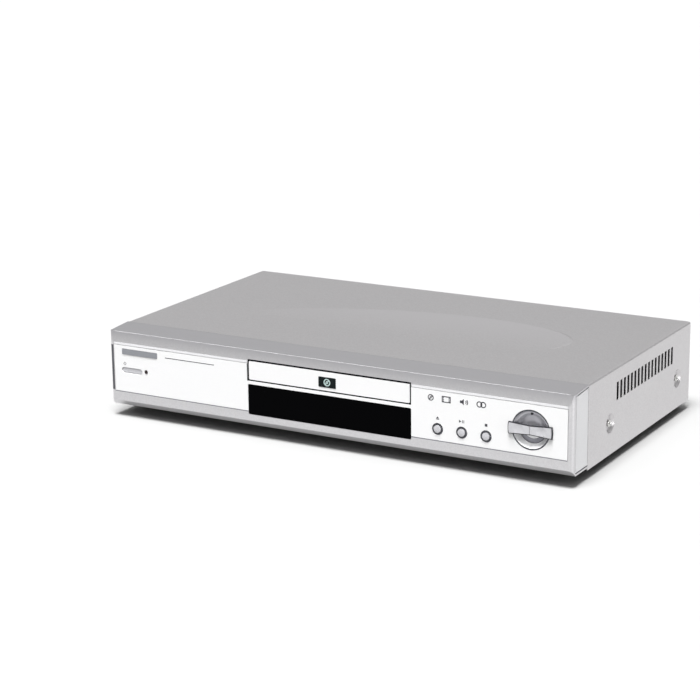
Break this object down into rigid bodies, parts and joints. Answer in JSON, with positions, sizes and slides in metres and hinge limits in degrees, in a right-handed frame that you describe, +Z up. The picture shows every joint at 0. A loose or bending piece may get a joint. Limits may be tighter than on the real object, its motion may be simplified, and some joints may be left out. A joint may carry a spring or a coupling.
{
  "type": "dvd player",
  "caption": "Slim desktop disc player with a silver case, motor-driven disc tray, display window, push keys and rear sockets, with its loader and boards inside.",
  "frame": {"origin": "on the floor under the middle of the player's bounding box", "axes": "+X to the player's right seen from the front, +Y towards the rear sockets, +Z up"},
  "size_m": [0.43, 0.256, 0.078],
  "materials": {
    "cover_paint": "satin silver-grey paint",
    "chassis_steel": "zinc-plated sheet steel",
    "rear_paint": "matte grey paint",
    "foot_plastic": "moulded dark plastic",
    "screw_steel": "plated screw steel",
    "panel_plastic": "silver-painted moulded plastic",
    "face_plate": "bright silver-white satin",
    "window_acrylic": "black tinted acrylic",
    "key_plastic": "silver-painted keys",
    "lamp_lens": "dark red translucent plastic",
    "green_board": "coated circuit board",
    "brown_board": "paper-based circuit board",
    "tube_glass": "dark display glass",
    "black_plastic": "black moulded plastic",
    "tray_plastic": "charcoal moulded plastic",
    "sink_aluminium": "extruded aluminium",
    "can_sleeve": "printed sleeve",
    "ivory_plastic": "ivory nylon",
    "ribbon_film": "white flat cable",
    "core_ferrite": "ferrite and tape",
    "nickel": "nickel plate",
    "insulator": "coloured insulators",
    "plated_steel": "plated steel",
    "belt_rubber": "rubber belt",
    "die_cast": "die-cast metal",
    "lens_glass": "coated lens",
    "pinion_brass": "brass"
  },
  "bodies": {
    "case": {"top_cover": "cover_paint", "bottom_chassis": "chassis_steel", "rear_panel": "rear_paint", "feet": "foot_plastic", "cover_screws": "screw_steel", "front_bezel": "panel_plastic", "end_caps": "panel_plastic", "fascia_plate": "face_plate", "display_window": "window_acrylic", "standby_lens": "lamp_lens", "skip_dish": "face_plate", "front_board": "green_board", "display_tube": "tube_glass", "tact_switches": "black_plastic", "main_board": "green_board", "decoder_chips": "black_plastic", "chip_heat_sink": "sink_aluminium", "capacitors": "can_sleeve", "board_connectors": "ivory_plastic", "front_ribbon": "ribbon_film", "loader_ribbon": "ribbon_film", "power_harness": "ribbon_film", "power_board": "brown_board", "transformer": "core_ferrite", "power_heat_sink": "sink_aluminium", "mains_inlet": "black_plastic", "board_screws": "screw_steel", "jack_blocks": "black_plastic", "jack_barrels": "nickel", "jack_inserts": "insulator", "s_video_socket": "black_plastic", "optical_socket": "black_plastic", "loader_frame": "black_plastic", "clamp_bridge": "plated_steel", "loading_motor": "plated_steel", "drive_belt": "belt_rubber"},
    "tray": {"disc_tray": "tray_plastic", "tray_door": "face_plate"},
    "tray_gear": {"tray_gear": "ivory_plastic"},
    "pulley_gear": {"pulley_gear": "ivory_plastic"},
    "motor_pulley": {"motor_pulley": "ivory_plastic"},
    "cam_slide": {"cam_slide": "ivory_plastic"},
    "traverse": {"traverse": "plated_steel", "spindle_motor": "plated_steel", "guide_rods": "plated_steel", "feed_motor": "plated_steel"},
    "turntable": {"turntable": "black_plastic"},
    "pickup": {"pickup": "die_cast"},
    "lens": {"objective_lens": "lens_glass"},
    "feed_gear": {"feed_gear": "ivory_plastic"},
    "feed_pinion": {"feed_pinion": "pinion_brass"},
    "clamper": {"clamper": "ivory_plastic"},
    "power_button": {"power_button": "key_plastic"},
    "open_button": {"open_button": "key_plastic"},
    "play_button": {"play_button": "key_plastic"},
    "stop_button": {"stop_button": "key_plastic"},
    "skip_back_key": {"skip_back_key": "key_plastic"},
    "skip_forward_key": {"skip_forward_key": "key_plastic"},
    "shutter": {"optical_shutter": "black_plastic"}
  },
  "joints": [
    {"name": "tray_slide", "type": "slide", "parent": "case", "child": "tray", "axis": [0, -1, 0], "range_m": [0, 0.138]},
    {"name": "tray_gear_spin", "type": "hinge", "parent": "case", "child": "tray_gear", "pos_m": [0.038, -0.093, 0.049], "axis": [0, 0, 1], "continuous": true},
    {"name": "pulley_gear_spin", "type": "hinge", "parent": "case", "child": "pulley_gear", "pos_m": [0.017, -0.093, 0.037], "axis": [0, 0, 1], "continuous": true},
    {"name": "motor_pulley_spin", "type": "hinge", "parent": "case", "child": "motor_pulley", "pos_m": [-0.02, -0.093, 0.037], "axis": [0, 0, 1], "continuous": true},
    {"name": "cam_slide_run", "type": "slide", "parent": "case", "child": "cam_slide", "axis": [1, 0, 0], "range_m": [0, 0.03]},
    {"name": "traverse_lift", "type": "hinge", "parent": "case", "child": "traverse", "pos_m": [0, 0.054, 0.047], "axis": [-1, 0, 0], "range_deg": [0, 4]},
    {"name": "turntable_spin", "type": "hinge", "parent": "traverse", "child": "turntable", "pos_m": [0, -0.04968, 0.03875], "axis": [0, -0.0698, 0.9976], "continuous": true},
    {"name": "pickup_slide", "type": "slide", "parent": "traverse", "child": "pickup", "axis": [0, 0.9976, 0.0698], "range_m": [0, 0.034]},
    {"name": "feed_gear_spin", "type": "hinge", "parent": "traverse", "child": "feed_gear", "pos_m": [0.0316, -0.00722, 0.0337], "axis": [0, -0.0698, 0.9976], "continuous": true},
    {"name": "feed_pinion_spin", "type": "hinge", "parent": "traverse", "child": "feed_pinion", "pos_m": [0.0454, -0.00687, 0.02871], "axis": [0, -0.0698, 0.9976], "continuous": true},
    {"name": "lens_focus", "type": "slide", "parent": "pickup", "child": "lens", "axis": [0, -0.0698, 0.9976], "range_m": [-0.0003, 0.0005], "stiffness_N_per_m": 60},
    {"name": "clamper_spin", "type": "hinge", "parent": "case", "child": "clamper", "pos_m": [0, -0.05, 0.066], "axis": [0, 0, 1], "continuous": true},
    {"name": "power_press", "type": "slide", "parent": "case", "child": "power_button", "axis": [0, 1, 0], "range_m": [0, 0.0006], "stiffness_N_per_m": 1500},
    {"name": "open_press", "type": "slide", "parent": "case", "child": "open_button", "axis": [0, 1, 0], "range_m": [0, 0.0006], "stiffness_N_per_m": 1500},
    {"name": "play_press", "type": "slide", "parent": "case", "child": "play_button", "axis": [0, 1, 0], "range_m": [0, 0.0006], "stiffness_N_per_m": 1500},
    {"name": "stop_press", "type": "slide", "parent": "case", "child": "stop_button", "axis": [0, 1, 0], "range_m": [0, 0.0006], "stiffness_N_per_m": 1500},
    {"name": "skip_back_press", "type": "slide", "parent": "case", "child": "skip_back_key", "axis": [0, 1, 0], "range_m": [0, 0.0006], "stiffness_N_per_m": 1500},
    {"name": "skip_forward_press", "type": "slide", "parent": "case", "child": "skip_forward_key", "axis": [0, 1, 0], "range_m": [0, 0.0006], "stiffness_N_per_m": 1500},
    {"name": "shutter_swing", "type": "hinge", "parent": "case", "child": "shutter", "pos_m": [0.114, 0.1188, 0.037], "axis": [-1, 0, 0], "range_deg": [0, 80], "stiffness_Nm_per_rad": 0.002}
  ],
  "couplings": [
    {"joint": "tray_gear_spin", "follows": "tray_slide", "rad_per_m": -166.67},
    {"joint": "pulley_gear_spin", "follows": "tray_slide", "rad_per_m": 416.67},
    {"joint": "motor_pulley_spin", "follows": "tray_slide", "rad_per_m": 1458.3},
    {"joint": "traverse_lift", "follows": "cam_slide_run", "rad_per_m": 2.3271},
    {"joint": "feed_gear_spin", "follows": "pickup_slide", "rad_per_m": -238.1},
    {"joint": "feed_pinion_spin", "follows": "pickup_slide", "rad_per_m": 857.14}
  ]
}
